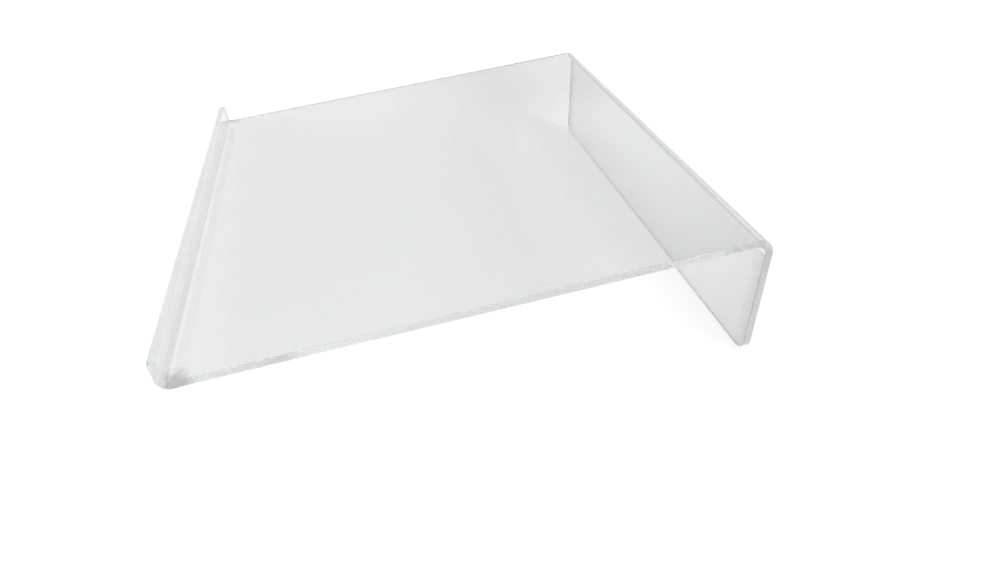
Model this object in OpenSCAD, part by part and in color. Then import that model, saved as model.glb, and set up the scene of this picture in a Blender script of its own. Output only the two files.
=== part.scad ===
// Plate display stand: one clear sheet, bent up at the front and down at the back.
// +X is the width, +Y points to the back and +Z is up. The origin is on the table,
// under the middle of the stand's outline.

/* [Sheet] */
// Thickness of the clear sheet
sheet_t = 3; // [2:0.5:5]
// Width of the stand from side to side
stand_w = 230; // [160:5:320]

/* [Deck] */
// Length of the deck between its two outer bend corners
deck_len = 215.5; // [160:0.5:300]

/* [Front lip] */
// Length of the lip, along its outside, from the outer bend corner
lip_len = 12; // [11:0.5:25]
// Angle between the deck and the lip
lip_angle = 88; // [82:1:100]
// Inside radius of the front bend
front_bend_r = 1.5; // [1:0.5:2.5]
// Radius of the lip's two top corners
lip_corner_r = 1.5; // [1:0.5:2]

/* [Rear leg] */
// Length of the leg, along its outside, from the outer bend corner
leg_len = 52.5; // [50:0.5:90]
// Angle between the deck and the leg
leg_angle = 83; // [82:1:92]
// Inside radius of the rear bend
rear_bend_r = 3.5; // [2:0.5:5]
// Radius of the leg's two foot corners
foot_corner_r = 5.5; // [2:0.5:8]

/* [Hidden] */
$fn = 96;
sheet_colour = [0.88, 0.90, 0.91, 0.6];
// How far a cut runs past the faces that it removes
over = 1;

// Each bend turns the sheet by what its angle leaves of a straight line
front_turn = 180 - lip_angle;
rear_turn = 180 - leg_angle;
front_outer_r = front_bend_r + sheet_t;
rear_outer_r = rear_bend_r + sheet_t;

// Length that each bend takes off the flats beside it
front_take = front_outer_r * tan(front_turn / 2);
rear_take = rear_outer_r * tan(rear_turn / 2);
deck_flat = deck_len - front_take - rear_take;
lip_flat = lip_len - front_take;
leg_flat = leg_len - rear_take;

// Points of the side outline before the stand is tilted, as [along the deck,
// square to the deck], from the outer corner of the front bend
front_centre = [front_take, front_outer_r];
rear_corner = [deck_len, sheet_t];
lip_end = lip_len * [cos(lip_angle), sin(lip_angle)];
leg_end = rear_corner - leg_len * [cos(leg_angle), sin(leg_angle)];
leg_inner_end = leg_end + sheet_t * [-sin(leg_angle), cos(leg_angle)];

// The stand rests on the front bend and on the inner edge of the foot, so its
// tilt brings that edge level with the lowest point of the bend's circle
rest_run = leg_inner_end - front_centre;
tilt = -atan2(rest_run[1], rest_run[0]) - asin(front_outer_r / norm(rest_run));

// A point of the side outline once the stand is tilted, as [y, z]
function tilted(p) = [
  p[0] * cos(tilt) - p[1] * sin(tilt),
  p[0] * sin(tilt) + p[1] * cos(tilt)
];

// The lip and the leg both lean outwards, so their free edges end the outline
middle_y = (tilted(lip_end)[0] + tilted(leg_end)[0]) / 2;
floor_z = tilted(front_centre)[1] - front_outer_r;

// Places a piece that is drawn in the side outline's plane, with its width on Z
module standing() {
  translate([0, -middle_y, -floor_z])
    rotate([tilt, 0, 0])
      rotate([90, 0, 90])
        translate([0, 0, -stand_w / 2])
          children();
}

// A bent strip of the sheet round the Z axis, from the angle start over turn
module bend(inner_r, start, turn) {
  rotate([0, 0, start])
    rotate_extrude(angle = turn)
      translate([inner_r, 0])
        square([sheet_t, stand_w]);
}

// What a rounded corner takes off a square one, with the corner at the origin
module corner_waste(corner_r) {
  difference() {
    translate([-over, -corner_r])
      square([corner_r + over, corner_r + over]);
    translate([corner_r, -corner_r])
      circle(r = corner_r);
  }
}

// Face of a flap: the bend's edge lies on X, the free edge has rounded corners
module flap_face(len, corner_r) {
  difference() {
    square([stand_w, len]);
    translate([0, len])
      corner_waste(corner_r);
    translate([stand_w, len])
      mirror([1, 0])
        corner_waste(corner_r);
  }
}

// A flap along +X with its outside on the XZ plane and its inside towards -Y
module flap(len, corner_r) {
  rotate([-90, -90, 0])
    translate([0, 0, -sheet_t])
      linear_extrude(sheet_t)
        flap_face(len, corner_r);
}

module deck() {
  color(sheet_colour)
    standing()
      translate([front_take, 0, 0])
        cube([deck_flat, sheet_t, stand_w]);
}

module front_bend() {
  color(sheet_colour)
    standing()
      translate([front_centre[0], front_centre[1], 0])
        bend(front_bend_r, 270 - front_turn, front_turn);
}

module front_lip() {
  color(sheet_colour)
    standing()
      rotate([0, 0, lip_angle])
        translate([front_take, 0, 0])
          flap(lip_flat, lip_corner_r);
}

module rear_bend() {
  color(sheet_colour)
    standing()
      translate([deck_len - rear_take, sheet_t - rear_outer_r, 0])
        bend(rear_bend_r, 90 - rear_turn, rear_turn);
}

module rear_leg() {
  color(sheet_colour)
    standing()
      translate([rear_corner[0], rear_corner[1], 0])
        rotate([0, 0, 180 + leg_angle])
          translate([rear_take, 0, 0])
            flap(leg_flat, foot_corner_r);
}

deck();
front_bend();
front_lip();
rear_bend();
rear_leg();
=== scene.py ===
import math

import bpy
from mathutils import Matrix, Vector


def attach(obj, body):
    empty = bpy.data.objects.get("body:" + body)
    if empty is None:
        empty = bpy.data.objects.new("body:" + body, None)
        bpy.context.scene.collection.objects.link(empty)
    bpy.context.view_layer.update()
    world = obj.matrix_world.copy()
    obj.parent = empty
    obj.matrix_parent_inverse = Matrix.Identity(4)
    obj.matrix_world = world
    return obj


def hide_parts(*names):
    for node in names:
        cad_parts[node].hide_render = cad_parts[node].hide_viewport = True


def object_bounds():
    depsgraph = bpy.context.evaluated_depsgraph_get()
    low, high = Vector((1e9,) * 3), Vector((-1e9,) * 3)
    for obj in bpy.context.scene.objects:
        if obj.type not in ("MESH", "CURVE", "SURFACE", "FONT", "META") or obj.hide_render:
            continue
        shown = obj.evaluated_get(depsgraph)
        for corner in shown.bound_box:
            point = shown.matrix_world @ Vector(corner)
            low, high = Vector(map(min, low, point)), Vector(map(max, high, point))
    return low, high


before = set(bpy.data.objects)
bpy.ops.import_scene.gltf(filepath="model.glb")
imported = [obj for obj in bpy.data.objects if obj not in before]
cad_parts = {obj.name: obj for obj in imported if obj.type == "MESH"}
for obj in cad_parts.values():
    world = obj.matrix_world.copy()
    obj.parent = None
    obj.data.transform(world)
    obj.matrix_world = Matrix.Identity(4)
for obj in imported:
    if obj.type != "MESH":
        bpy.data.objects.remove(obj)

cad_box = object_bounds()

# ---------------------------------------------------------------- the stand's sizes
# Metres and radians, the same driving dimensions as the CAD model's.
SHEET_T = 0.003
DECK_LEN = 0.2155
LIP_LEN = 0.012
LIP_ANGLE = math.radians(88)
LIP_CORNER_R = 0.0015
FRONT_BEND_R = 0.0015
LEG_LEN = 0.0525
LEG_ANGLE = math.radians(83)
FOOT_CORNER_R = 0.0055
REAR_BEND_R = 0.0035

# Details that only the looks need
ARRIS_R = 0.00015         # rounding that polishing leaves along every cut edge
CLEARANCE = 0.00001       # keeps these true arcs inside the CAD model's faceted ones
FRONT_SPREAD = 0.0003     # how far bending squeezes the front out sideways
REAR_SPREAD = 0.00015     # the same for the inside of the rear bend
SPREAD_REACH = 0.005      # how far into the flats those bulges fade out
HALF_W = cad_box[1].x - FRONT_SPREAD - CLEARANCE
HALF_T = SHEET_T / 2 - CLEARANCE

FRONT_TURN = math.pi - LIP_ANGLE
REAR_TURN = math.pi - LEG_ANGLE
FRONT_OUTER_R = FRONT_BEND_R + SHEET_T
REAR_OUTER_R = REAR_BEND_R + SHEET_T
FRONT_MID_R = FRONT_BEND_R + SHEET_T / 2
REAR_MID_R = REAR_BEND_R + SHEET_T / 2
FRONT_TAKE = FRONT_OUTER_R * math.tan(FRONT_TURN / 2)
REAR_TAKE = REAR_OUTER_R * math.tan(REAR_TURN / 2)
DECK_FLAT = DECK_LEN - FRONT_TAKE - REAR_TAKE
LIP_FLAT = LIP_LEN - FRONT_TAKE
LEG_FLAT = LEG_LEN - REAR_TAKE
FRONT_ARC = FRONT_MID_R * FRONT_TURN
REAR_ARC = REAR_MID_R * REAR_TURN

# Places along the flat blank, from the deck's low end, along the middle of the sheet
LIP_START_S = -FRONT_ARC
LIP_END_S = LIP_START_S - LIP_FLAT
LEG_START_S = DECK_FLAT + REAR_ARC
LEG_END_S = LEG_START_S + LEG_FLAT


def direction(angle):
    return Vector((math.cos(angle), math.sin(angle)))


# Side outline before the tilt: (along the deck, square to it), from the outer
# corner of the front bend
FRONT_CENTRE = Vector((FRONT_TAKE, FRONT_OUTER_R))
REAR_CENTRE = Vector((DECK_LEN - REAR_TAKE, SHEET_T - REAR_OUTER_R))
LEG_END = Vector((DECK_LEN, SHEET_T)) - LEG_LEN * direction(LEG_ANGLE)
LEG_INNER_END = LEG_END + SHEET_T * direction(LEG_ANGLE + math.pi / 2)
LIP_END = LIP_LEN * direction(LIP_ANGLE)
REST_RUN = LEG_INNER_END - FRONT_CENTRE
TILT = -math.atan2(REST_RUN.y, REST_RUN.x) - math.asin(FRONT_OUTER_R / REST_RUN.length)
TURN = Matrix.Rotation(TILT, 2)
MIDDLE_Y = ((TURN @ LIP_END).x + (TURN @ LEG_END).x) / 2
FLOOR_Z = (TURN @ FRONT_CENTRE).y - FRONT_OUTER_R


def in_place(p, x):
    """The frame's point for a point of the side outline and a place across the width."""
    q = TURN @ p
    return Vector((x, q.x - MIDDLE_Y, q.y - FLOOR_Z))


def turned(v, x=0.0):
    """The frame's direction for a direction of the side outline."""
    q = TURN @ v
    return Vector((x, q.x, q.y))


# ---------------------------------------------------------------- the sheet's run
# Each stretch gives, at a distance s from its start, the middle of the sheet, the
# way onwards and the way up out of the deck's top side, all in the side outline.

def straight(start, onward, up):
    def at(s):
        return start + s * onward, onward, up
    return at


def curved(centre, mid_r, first, side):
    """A bend run clockwise from the angle first; side is 1 if its outside is on top."""
    def at(s):
        out = direction(first - s / mid_r)
        onward = Vector((out.y, -out.x))
        return centre + mid_r * out, onward, side * out
    return at


DECK_START = Vector((FRONT_TAKE, SHEET_T / 2))
LEG_WAY = -direction(LEG_ANGLE)
LEG_UP = Vector((math.sin(LEG_ANGLE), -math.cos(LEG_ANGLE)))
LIP_WAY = direction(LIP_ANGLE)
LIP_UP = Vector((math.sin(LIP_ANGLE), -math.cos(LIP_ANGLE)))
LEG_START = REAR_CENTRE + REAR_MID_R * LEG_UP
LIP_START = FRONT_CENTRE - FRONT_MID_R * LIP_UP

at_deck = straight(DECK_START, Vector((1, 0)), Vector((0, 1)))
at_rear_bend = curved(REAR_CENTRE, REAR_MID_R, math.pi / 2, 1)
at_leg = straight(LEG_START, LEG_WAY, LEG_UP)
at_front_bend = curved(FRONT_CENTRE, FRONT_MID_R, 3 * math.pi / 2, -1)
at_lip = straight(LIP_START, LIP_WAY, LIP_UP)


def bulge(blank_s, height):
    """How far bending has squeezed out the edge at a place along the flat blank and
    a height in the sheet."""
    front = min(max(1 - blank_s / SPREAD_REACH, 0.0), 1.0)
    middle = DECK_FLAT + REAR_ARC / 2
    reach = REAR_ARC / 2 + SPREAD_REACH
    rear = max(1 - abs(blank_s - middle) / reach, 0.0)
    inside = (1 - height / HALF_T) / 2
    return (FRONT_SPREAD * math.sin(front * math.pi / 2) ** 2
            + REAR_SPREAD * inside * math.sin(rear * math.pi / 2) ** 2)


# ---------------------------------------------------------------- meshes
COLUMNS = 16              # quads across the width
DECK_ROWS = 40            # quads along each stretch
LEG_ROWS = 16
LIP_ROWS = 6
BEND_ROWS = 48
ARRIS_STEPS = 6           # quads round one arris
CORNER_STEPS = 16         # quads round one rounded corner of a flap
# A mesh's materials: the sheet's faces, the cut edges along its sides, the places
# where two pieces meet, and the cut edge of a free end
FACE, CUT, JOINT, END = range(4)


def rim_profile():
    """(inset, height above the middle, angle) from the top side round to the bottom."""
    steps = [math.pi / 2 * (1 - i / ARRIS_STEPS) for i in range(ARRIS_STEPS + 1)]
    flat = HALF_T - ARRIS_R
    top = [(ARRIS_R * (1 - math.cos(a)), flat + ARRIS_R * math.sin(a), a) for a in steps]
    return top + [(inset, -height, -a) for inset, height, a in reversed(top)]


PROFILE = rim_profile()
LAST = len(PROFILE) - 1


def side_rows(length, rows, corner_r):
    """(s, half width, outward along, outward across) down one side of a stretch."""
    last_straight = length - corner_r - (CLEARANCE if corner_r else 0.0)
    side = [(last_straight * i / rows, HALF_W, 0.0, 1.0) for i in range(rows + 1)]
    if corner_r:
        for i in range(1, CORNER_STEPS + 1):
            a = math.pi / 2 * i / CORNER_STEPS
            along, across = math.sin(a), math.cos(a)
            side.append((last_straight + corner_r * along,
                         HALF_W - corner_r * (1 - across), along, across))
    return side


def sheet_mesh(name, spots, normals, blanks, faces, kinds):
    """A mesh with a material index, kind, for each face. It keeps each point's own
    normal, except on the joints, and its place in the flat blank."""
    mesh = bpy.data.meshes.new(name)
    mesh.from_pydata(spots, [], faces)
    mesh.polygons.foreach_set("material_index", kinds)
    mesh.polygons.foreach_set("use_smooth", [True] * len(faces))
    mesh.update()
    loop_normals = []
    for poly in mesh.polygons:
        flat = kinds[poly.index] == JOINT
        loop_normals += [poly.normal if flat else normals[v] for v in poly.vertices]
    mesh.normals_split_custom_set(loop_normals)
    blank = mesh.attributes.new("blank", "FLOAT_VECTOR", "POINT")
    blank.data.foreach_set("vector", [n for spot in blanks for n in spot])
    return mesh


def linked(name, data):
    """A new object in the scene, made of a mesh, a lamp or a camera."""
    thing = bpy.data.objects.new(name, data)
    bpy.context.scene.collection.objects.link(thing)
    return thing


def make_piece(name, at, length, rows, blank_start, blank_way, corner_r=0.0):
    """One closed solid of the sheet: two faces, a cut rim, and a joint at each end
    that meets the next piece. corner_r gives it a free end with rounded corners.
    Its points are named (row, column, place in the rim's profile)."""
    side = side_rows(length, rows, corner_r)
    end = len(side) - 1
    spots, normals, blanks, index = [], [], [], {}

    def vertex(j, c, k):
        key = (j, c, k)
        if key in index:
            return index[key]
        s, half, along, across = side[j]
        inset, height, angle = PROFILE[k]
        inner = 0 < c < COLUMNS
        share = 2 * c / COLUMNS - 1
        x = share * (half - inset * across + bulge(blank_start + blank_way * s, height))
        here = s - inset * along
        if inner:
            along = 1.0 if corner_r and j == end else 0.0
            across = 0.0
        mid, onward, up = at(here)
        out = turned(onward * along, across * (1 if share > 0 else -1))
        index[key] = len(spots)
        spots.append(in_place(mid + up * height, x))
        normals.append((math.cos(angle) * out + math.sin(angle) * turned(up)).normalized())
        blanks.append((x, blank_start + blank_way * here, height))
        return index[key]

    faces, kinds = [], []

    def quad(kind, *keys):
        faces.append([vertex(*key) for key in keys])
        kinds.append(kind)

    for j in range(end):
        for c in range(COLUMNS):
            quad(FACE, (j, c, 0), (j + 1, c, 0), (j + 1, c + 1, 0), (j, c + 1, 0))
            quad(FACE, (j, c, LAST), (j, c + 1, LAST), (j + 1, c + 1, LAST), (j + 1, c, LAST))
        # The half of a rounded corner that is nearer the free end belongs to it
        rim = CUT if j < rows + CORNER_STEPS // 2 else END
        far = COLUMNS
        for k in range(LAST):
            quad(rim, (j, 0, k), (j, 0, k + 1), (j + 1, 0, k + 1), (j + 1, 0, k))
            quad(rim, (j, far, k), (j + 1, far, k), (j + 1, far, k + 1), (j, far, k + 1))
    for c in range(COLUMNS):
        for k in range(LAST):
            quad(JOINT, (0, c, k), (0, c + 1, k), (0, c + 1, k + 1), (0, c, k + 1))
            quad(END if corner_r else JOINT,
                 (end, c, k), (end, c, k + 1), (end, c + 1, k + 1), (end, c + 1, k))

    if blank_way > 0:
        faces = [face[::-1] for face in faces]
    return linked(name, sheet_mesh(name, spots, normals, blanks, faces, kinds))


# ---------------------------------------------------------------- shader building blocks

def new_material(name):
    mat = bpy.data.materials.new(name)
    mat.use_nodes = True
    mat.node_tree.nodes.clear()
    return mat, mat.node_tree


def link(nt, source, sink):
    nt.links.new(source, sink)


def grey(tone):
    return (tone, tone, tone, 1)


def math_node(nt, operation, first, second=None):
    """A Math node's result; second is a socket or a number."""
    node = nt.nodes.new("ShaderNodeMath")
    node.operation = operation
    link(nt, first, node.inputs[0])
    if isinstance(second, float):
        node.inputs[1].default_value = second
    elif second is not None:
        link(nt, second, node.inputs[1])
    return node.outputs["Value"]


def product(nt, first, second):
    """Two vectors or colours multiplied; second is a socket or a tuple."""
    node = nt.nodes.new("ShaderNodeVectorMath")
    node.operation = "MULTIPLY"
    link(nt, first, node.inputs[0])
    if isinstance(second, tuple):
        node.inputs[1].default_value = second
    else:
        link(nt, second, node.inputs[1])
    return node.outputs["Vector"]


def noise(nt, vector, pattern):
    """A noise whose pattern is (cells per metre, layers of finer detail)."""
    scale, detail = pattern
    node = nt.nodes.new("ShaderNodeTexNoise")
    node.inputs["Scale"].default_value = scale
    node.inputs["Detail"].default_value = detail
    link(nt, vector, node.inputs["Vector"])
    return node.outputs["Fac"]


def remap(nt, value, low, high, out_low, out_high):
    """A value from low to high, or past them, turned into one from out_low to out_high."""
    node = nt.nodes.new("ShaderNodeMapRange")
    node.inputs["From Min"].default_value = low
    node.inputs["From Max"].default_value = high
    node.inputs["To Min"].default_value = out_low
    node.inputs["To Max"].default_value = out_high
    link(nt, value, node.inputs["Value"])
    return node.outputs["Result"]


def toned(nt, value, stops):
    """A grey that follows value through stops, which maps values to tones."""
    first, last = min(stops), max(stops)
    node = nt.nodes.new("ShaderNodeValToRGB")
    link(nt, remap(nt, value, first, last, 0.0, 1.0), node.inputs["Fac"])
    elements = node.color_ramp.elements
    for spot, tone in stops.items():
        if spot == first:
            element = elements[0]
        elif spot == last:
            element = elements[len(elements) - 1]
        else:
            element = elements.new((spot - first) / (last - first))
        element.color = grey(tone)
    return node.outputs["Color"]


def colour_between(nt, value, start, end):
    """From the colour start to end, a socket or a colour, as value goes from 0 to 1."""
    node = nt.nodes.new("ShaderNodeMix")
    node.data_type = "RGBA"
    node.inputs["A"].default_value = start
    if isinstance(end, tuple):
        node.inputs["B"].default_value = end
    else:
        link(nt, end, node.inputs["B"])
    link(nt, value, node.inputs["Factor"])
    return node.outputs["Result"]


def bumped(nt, height, strength, distance):
    node = nt.nodes.new("ShaderNodeBump")
    node.inputs["Strength"].default_value = strength
    node.inputs["Distance"].default_value = distance
    link(nt, height, node.inputs["Height"])
    return node.outputs["Normal"]


def blank_place(nt):
    """(across, along, height) of a place in the flat blank."""
    place = nt.nodes.new("ShaderNodeAttribute")
    place.attribute_name = "blank"
    return place.outputs["Vector"]


def blank_part(nt, axis):
    """One of those three: X is across, Y along and Z the height."""
    split = nt.nodes.new("ShaderNodeSeparateXYZ")
    link(nt, blank_place(nt), split.inputs["Vector"])
    return split.outputs[axis]


# ---------------------------------------------------------------- materials
ACRYLIC_IOR = 1.49
EVEN_BLEND = 0.5          # leaves Facing at 1 less the cosine of the viewing angle
SHADOW_FALLOFF = 4.0      # how suddenly a surface stops light that grazes it
GRAZING_SHARE = 0.3       # what it still passes edge-on
# The share of light that one surface passes, face-on
FLAT_PASSES = 0.98
FRONT_BEND_PASSES = 0.96
REAR_BEND_PASSES = 0.93
CUT_PASSES = 0.97

# Patterns of noise: cells per metre and layers of finer detail
FACE_CLOUDS = (18.0, 3.0)
SMUDGES = (60.0, 4.0)
SWELLS = (25.0, 1.0)
# The next pattern makes the border of the painted side shade wander
SIDE_SHADE_WAVES = (450.0, 1.0)
CUT_CLOUDS = (120.0, 3.0)
FROST = (300.0, 3.0)
SAW_LINES = (900.0, 1.0)
# Most values of a noise lie between these: of one with fine detail, and of one with little
FINE_SPAN = (0.3, 0.7)
PLAIN_SPAN = (0.35, 0.65)

WHITE = grey(1.0)
FACE_TINT = (0.985, 0.99, 0.99, 1)
CUT_TINT = (0.97, 0.98, 0.98, 1)
CUT_TINT_PALE = (1.02, 1.03, 1.03, 1)
FACE_ROUGH = 0.02         # the roughest smudge on a face
FROST_ROUGH = 0.12        # what frost adds to the roughness of a polished cut
SWELL_STRENGTH = 0.5
LINE_STRENGTH = 0.12
LINE_DEPTH = 0.0001
LINE_SQUEEZE = 0.12       # draws the saw's lines out through the sheet's thickness
# An arris's tone is painted light where it is above 1 and painted shade where it is below
ARRIS_START = 0.6         # share of the half thickness where the arris's tone begins
# The border of the painted side shade wanders over the next width
SIDE_SHADE_WANDER = 0.003          # width over which a border beside a cut edge is ragged


def clear_shader(nt, tint_and_painted_shading, rough, bump, passes, clarity=1.0):
    """Clear acrylic. Lamps and the floor's soft light pass straight through it, at
    the share passes per surface, less where the surface turns away from them. What
    clarity leaves of 1 is milky."""
    glass = nt.nodes.new("ShaderNodeBsdfPrincipled")
    glass.inputs["IOR"].default_value = ACRYLIC_IOR
    glass.inputs["Transmission Weight"].default_value = clarity
    link(nt, tint_and_painted_shading, glass.inputs["Base Color"])
    link(nt, rough, glass.inputs["Roughness"])
    link(nt, bump, glass.inputs["Normal"])
    facing = nt.nodes.new("ShaderNodeLayerWeight")
    facing.inputs["Blend"].default_value = EVEN_BLEND
    grazing = math_node(nt, "POWER", facing.outputs["Facing"], SHADOW_FALLOFF)
    passed = colour_between(nt, grazing, grey(passes), grey(GRAZING_SHARE * passes))
    passing = nt.nodes.new("ShaderNodeBsdfTransparent")
    link(nt, passed, passing.inputs["Color"])
    ray = nt.nodes.new("ShaderNodeLightPath").outputs
    either = math_node(nt, "MAXIMUM", ray["Is Shadow Ray"], ray["Is Diffuse Ray"])
    mix = nt.nodes.new("ShaderNodeMixShader")
    out = nt.nodes.new("ShaderNodeOutputMaterial")
    link(nt, either, mix.inputs["Fac"])
    link(nt, glass.outputs["BSDF"], mix.inputs[1])
    link(nt, passing.outputs["BSDF"], mix.inputs[2])
    link(nt, mix.outputs["Shader"], out.inputs["Surface"])


def wavy_side_shade_border(nt):
    """The place across the blank, wandering so that the border of the painted side shade is
    ragged.
    """
    bites = noise(nt, blank_place(nt), SIDE_SHADE_WAVES)
    wander = remap(nt, bites, *PLAIN_SPAN, -SIDE_SHADE_WANDER / 2, SIDE_SHADE_WANDER / 2)
    return math_node(nt, "ADD", blank_part(nt, "X"), wander)


def face_material(name, tones, passes, wave, *sideways, inner=1.0):
    """A face of the sheet. tones, its grey tint with painted shade and light, follow the
    distance along the blank. Each pair of sideways has tones of painted side shade that
    follow the place across it and the share of them that counts along it. wave is how high
    its faint waves are, in metres, and inner is the tone of the side that is underneath
    the deck, painted light where it is more than 1."""
    mat, nt = new_material(name)
    cloud = noise(nt, blank_place(nt), FACE_CLOUDS)
    tint_and_painted_shading = colour_between(nt, cloud, FACE_TINT, WHITE)
    # The tones multiplied in below are painted shade and light on the sheet's grey tint
    tint_and_painted_shading = product(nt, tint_and_painted_shading, toned(nt, blank_part(nt, "Y"), tones))
    tint_and_painted_shading = product(nt, tint_and_painted_shading, toned(nt, blank_part(nt, "Z"), {-HALF_T: inner, 0.0: 1.0}))
    for side_shade_tones, side_shade_shares in sideways:
        share = toned(nt, blank_part(nt, "Y"), side_shade_shares)
        side = toned(nt, wavy_side_shade_border(nt), side_shade_tones)
        tint_and_painted_shading = product(nt, tint_and_painted_shading, colour_between(nt, share, WHITE, side))
    smudges = noise(nt, blank_place(nt), SMUDGES)
    rough = remap(nt, smudges, *FINE_SPAN, 0.0, FACE_ROUGH)
    swells = noise(nt, blank_place(nt), SWELLS)
    clear_shader(nt, tint_and_painted_shading, rough, bumped(nt, swells, SWELL_STRENGTH, wave), passes)
    return mat


def cut_material(name, tones, arris, polish, clarity=1.0):
    """A cut edge. tones, its grey tint with painted shade and light, follow the distance
    along the blank. arris is the tone of its two arrises against its middle, painted light
    above 1 and painted shade below it, and polish the roughness that polishing leaves at
    best."""
    mat, nt = new_material(name)
    cloud = noise(nt, blank_place(nt), CUT_CLOUDS)
    tint_and_painted_shading = colour_between(nt, cloud, CUT_TINT, CUT_TINT_PALE)
    # The tones multiplied in below are painted shade and light on the edge's grey tint
    tint_and_painted_shading = product(nt, tint_and_painted_shading, toned(nt, blank_part(nt, "Y"), tones))
    height = math_node(nt, "ABSOLUTE", blank_part(nt, "Z"))
    tint_and_painted_shading = product(nt, tint_and_painted_shading, toned(nt, height, {ARRIS_START * HALF_T: 1.0, HALF_T: arris}))
    frost = noise(nt, blank_place(nt), FROST)
    rough = remap(nt, frost, *FINE_SPAN, polish, polish + FROST_ROUGH)
    upright = product(nt, blank_place(nt), (1.0, 1.0, LINE_SQUEEZE))
    lines = bumped(nt, noise(nt, upright, SAW_LINES), LINE_STRENGTH, LINE_DEPTH)
    clear_shader(nt, tint_and_painted_shading, rough, lines, CUT_PASSES, clarity)
    return mat


def joint_material():
    """Where two pieces of the one sheet meet, nothing is to be seen."""
    mat, nt = new_material("acrylic_joint")
    clear = nt.nodes.new("ShaderNodeBsdfTransparent")
    out = nt.nodes.new("ShaderNodeOutputMaterial")
    link(nt, clear.outputs["BSDF"], out.inputs["Surface"])
    return mat


FLOOR_R = 5.0
FLOOR_SIDES = 64
FLOOR_TONE = 0.93
FLOOR_ROUGH = 0.7
FLOOR_GLOSS = 0.2


def floor_material():
    mat, nt = new_material("pale_floor")
    base = nt.nodes.new("ShaderNodeBsdfPrincipled")
    base.inputs["Base Color"].default_value = grey(FLOOR_TONE)
    base.inputs["Roughness"].default_value = FLOOR_ROUGH
    base.inputs["Specular IOR Level"].default_value = FLOOR_GLOSS
    out = nt.nodes.new("ShaderNodeOutputMaterial")
    link(nt, base.outputs["BSDF"], out.inputs["Surface"])
    return mat


# ---------------------------------------------------------------- the sheet's tones: its grey tint, with painted light and shade
# The front bend's dark patches are painted shade at both front corners
SHADE_PATCH_END = 0.02          # share of the deck where the front bend's dark patches end
# How high the faint waves in the faces are
FLAT_WAVE = 0.00003
FRONT_WAVE = 0.00004
REAR_WAVE = 0.0001


def even(tone):
    """The same tone from one end of the blank to the other."""
    return {LIP_END_S: tone, LEG_END_S: tone}


# Along the sheet: the sheet's grey tint, with painted shade and light. A painted shadow band
# darkens the deck about two thirds of the way to the rear bend, and it is lighter at both
# ends
deck_tones = {
    0.0: 0.85,
    0.1 * DECK_FLAT: 0.795,
    0.4 * DECK_FLAT: 0.785,
    0.62 * DECK_FLAT: 0.73,
    0.76 * DECK_FLAT: 0.745,
    0.88 * DECK_FLAT: 0.84,
    DECK_FLAT: 0.88,
}
rear_bend_tones = {
    DECK_FLAT: 0.75,
    LEG_START_S: 0.73,
}
leg_tones = {
    LEG_START_S: 0.825,
    LEG_END_S: 0.81,
}
# The front bend is painted darker towards the lip
front_bend_tones = {
    LIP_START_S: 0.67,
    0.6 * LIP_START_S: 0.76,
    0.3 * LIP_START_S: 0.90,
    0.0: 0.93,
}
lip_tones = {
    LIP_END_S: 0.81,
    LIP_START_S: 0.76,
}
# Across the sheet: painted shade towards the sides: the leg's two sides, the front corners,
# the deck's -X side and the lip's -X end
leg_side_shade = {
    -HALF_W: 0.72,
    -0.965 * HALF_W: 0.80,
    -0.93 * HALF_W: 1.0,
    -0.2 * HALF_W: 1.0,
    0.3 * HALF_W: 0.96,
    0.7 * HALF_W: 0.87,
    0.93 * HALF_W: 0.81,
    0.965 * HALF_W: 0.73,
    HALF_W: 0.66,
}
front_side_shade = {
    -HALF_W: 0.75,
    -0.97 * HALF_W: 0.85,
    -0.95 * HALF_W: 1.0,
    0.95 * HALF_W: 1.0,
    0.97 * HALF_W: 0.68,
    HALF_W: 0.58,
}
rear_side_shade = {
    -HALF_W: 0.87,
    -0.55 * HALF_W: 0.86,
    -0.1 * HALF_W: 1.0,
    HALF_W: 1.0,
}
lip_side_shade = {
    -HALF_W: 0.76,
    -0.87 * HALF_W: 0.98,
    HALF_W: 1.0,
}
# The share of the painted side shade that counts along the sheet
all_along = even(1.0)
# Painted dark patches at the two front corners: over the front bend and the deck's first part
front_corner_shade_share = {
    LIP_START_S: 0.0,
    0.5 * LIP_START_S: 1.0,
    0.8 * SHADE_PATCH_END * DECK_FLAT: 1.0,
    1.5 * SHADE_PATCH_END * DECK_FLAT: 0.0,
}
# Painted shade on the deck's -X side, coming in from 0.6 of the deck onwards
rear_third_shade_share = {
    0.6 * DECK_FLAT: 0.0,
    0.85 * DECK_FLAT: 1.0,
}
# Along the cut edges: their grey tint, with painted shade and light where it varies, darkest
# in the painted dark patches by the front bend
deck_edge_tones = {
    0.0: 0.38,
    SHADE_PATCH_END * DECK_FLAT: 0.42,
    2 * SHADE_PATCH_END * DECK_FLAT: 0.84,
    0.2 * DECK_FLAT: 0.84,
    0.35 * DECK_FLAT: 0.765,
    0.5 * DECK_FLAT: 0.745,
    0.8 * DECK_FLAT: 0.67,
    DECK_FLAT: 0.72,
}
leg_edge_tones = {
    DECK_FLAT: 0.76,
    LEG_START_S: 0.61,
}
lip_edge_tones = {
    LIP_END_S: 0.73,
    LIP_START_S: 0.67,
    0.6 * LIP_START_S: 0.60,
    0.3 * LIP_START_S: 0.42,
    0.0: 0.38,
}
foot_tones = even(0.78)
lip_top_tones = even(0.815)

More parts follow.
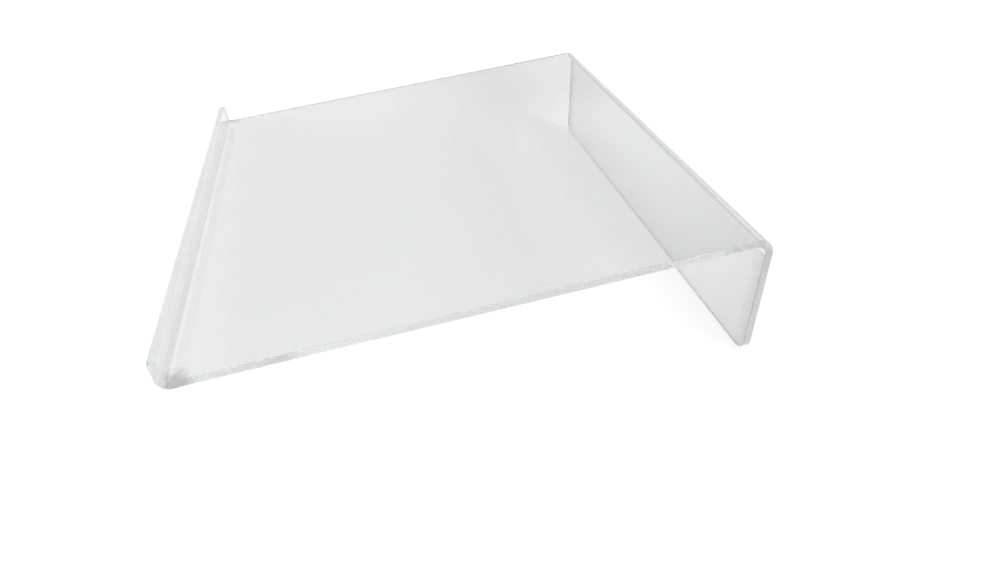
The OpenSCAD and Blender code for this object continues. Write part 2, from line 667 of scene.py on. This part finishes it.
front_corner_shading = (front_side_shade, front_corner_shade_share)
deck_skin = face_material("acrylic_deck", deck_tones, FLAT_PASSES, FLAT_WAVE,
                          front_corner_shading, (rear_side_shade, rear_third_shade_share))
front_bend_skin = face_material("acrylic_front_bend", front_bend_tones,
                                FRONT_BEND_PASSES, FRONT_WAVE, front_corner_shading)
lip_skin = face_material("acrylic_lip", lip_tones, FLAT_PASSES, FLAT_WAVE,
                         (lip_side_shade, all_along))
# Its underside is painted lighter: inner=1.15 is painted light
rear_bend_skin = face_material("acrylic_rear_bend", rear_bend_tones,
                               REAR_BEND_PASSES, REAR_WAVE, inner=1.15)
leg_skin = face_material("acrylic_leg", leg_tones, FLAT_PASSES, FLAT_WAVE,
                         (leg_side_shade, all_along))
# The arris values paint light above 1 and shade below 1 along the cut edges' arrises
deck_edge = cut_material("acrylic_deck_edge", deck_edge_tones, arris=1.25, polish=0.16)
leg_edge = cut_material("acrylic_leg_edge", leg_edge_tones, arris=0.75, polish=0.13)
foot_edge = cut_material("acrylic_foot", foot_tones, arris=0.9, polish=0.13)
lip_edge = cut_material("acrylic_lip_edge", lip_edge_tones, arris=1.2, polish=0.10,
                        clarity=0.85)
lip_top = cut_material("acrylic_lip_top", lip_top_tones, arris=1.1, polish=0.10,
                       clarity=0.6)
joint_skin = joint_material()

# ---------------------------------------------------------------- the pieces
# For each CAD node: its stretch, length, rows, start on the blank, way along it (1 to
# the leg, -1 to the lip) and corner radius; then its materials in the order FACE, CUT,
# JOINT, END
RUNS = {
    "deck": (at_deck, DECK_FLAT, DECK_ROWS, 0.0, 1),
    "rear_bend": (at_rear_bend, REAR_ARC, BEND_ROWS, DECK_FLAT, 1),
    "rear_leg": (at_leg, LEG_FLAT, LEG_ROWS, LEG_START_S, 1, FOOT_CORNER_R),
    "front_bend": (at_front_bend, FRONT_ARC, BEND_ROWS, 0.0, -1),
    "front_lip": (at_lip, LIP_FLAT, LIP_ROWS, LIP_START_S, -1, LIP_CORNER_R),
}
SKINS = {
    "deck": (deck_skin, deck_edge, joint_skin),
    "rear_bend": (rear_bend_skin, leg_edge, joint_skin),
    "rear_leg": (leg_skin, leg_edge, joint_skin, foot_edge),
    "front_bend": (front_bend_skin, lip_edge, joint_skin),
    "front_lip": (lip_skin, lip_edge, joint_skin, lip_top),
}
for node, run in RUNS.items():
    piece = make_piece(node + "_sheet", *run)
    for skin in SKINS[node]:
        piece.data.materials.append(skin)
    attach(piece, "root")
    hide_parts(node)

# ---------------------------------------------------------------- floor, light, camera
floor_rim = [FLOOR_R * direction(2 * math.pi * i / FLOOR_SIDES) for i in range(FLOOR_SIDES)]
floor_mesh = bpy.data.meshes.new("floor")
floor_mesh.from_pydata([(p.x, p.y, 0) for p in floor_rim], [], [list(range(FLOOR_SIDES))])
floor_mesh.materials.append(floor_material())
floor = linked("floor", floor_mesh)

# The studio's soft light by its height: 0 is level and 1 is straight up
SKY_TONES = {0.0: 0.8, 0.5: 0.82, 1.0: 0.78}
world = bpy.data.worlds.new("studio")
bpy.context.scene.world = world
world.use_nodes = True
sky_nodes = world.node_tree
sky_nodes.nodes.clear()
way = sky_nodes.nodes.new("ShaderNodeTexCoord")
split = sky_nodes.nodes.new("ShaderNodeSeparateXYZ")
sky = sky_nodes.nodes.new("ShaderNodeBackground")
world_out = sky_nodes.nodes.new("ShaderNodeOutputWorld")
link(sky_nodes, way.outputs["Generated"], split.inputs["Vector"])
link(sky_nodes, toned(sky_nodes, split.outputs["Z"], SKY_TONES), sky.inputs["Color"])
link(sky_nodes, sky.outputs["Background"], world_out.inputs["Surface"])

SUN_FROM = Vector((0.44, 0.32, 1.0))
SUN_STRENGTH = 1.5
SUN_SPREAD = math.radians(5)
sun_data = bpy.data.lights.new("softbox", "SUN")
sun_data.energy = SUN_STRENGTH
sun_data.angle = SUN_SPREAD
sun = linked("softbox", sun_data)
sun.rotation_mode = "QUATERNION"
sun.rotation_quaternion = SUN_FROM.to_track_quat("Z", "Y")

# The photo's viewpoint: close, from the +X side and slightly to the front
CAMERA_AT = Vector((0.30098, -0.05335, 0.16313))
VIEW_AZIMUTH = math.radians(73.255)
VIEW_DOWN = math.radians(32.827)
VIEW_ROLL = math.radians(7.295)
SENSOR_MM = 36.0
LENS_MM = 25.250
NEAREST = 0.01
FARTHEST = 50.0
cam_data = bpy.data.cameras.new("camera")
cam_data.sensor_width = SENSOR_MM
cam_data.lens = LENS_MM
cam_data.clip_start = NEAREST
cam_data.clip_end = FARTHEST
camera = linked("camera", cam_data)
look = Vector((-math.sin(VIEW_AZIMUTH) * math.cos(VIEW_DOWN),
               math.cos(VIEW_AZIMUTH) * math.cos(VIEW_DOWN),
               -math.sin(VIEW_DOWN)))
roll = Matrix.Rotation(VIEW_ROLL, 3, "Z").to_quaternion()
camera.location = CAMERA_AT
camera.rotation_mode = "QUATERNION"
camera.rotation_quaternion = look.to_track_quat("-Z", "Y") @ roll

# Light finds its way along inside the sheet by many reflections
MOST_BOUNCES = 96
REFLECTIONS = 80
REFRACTIONS = 32
scene = bpy.context.scene
scene.camera = camera
scene.view_settings.view_transform = "Standard"
scene.cycles.max_bounces = MOST_BOUNCES
scene.cycles.glossy_bounces = REFLECTIONS
scene.cycles.transmission_bounces = REFRACTIONS
scene.cycles.transparent_max_bounces = MOST_BOUNCES
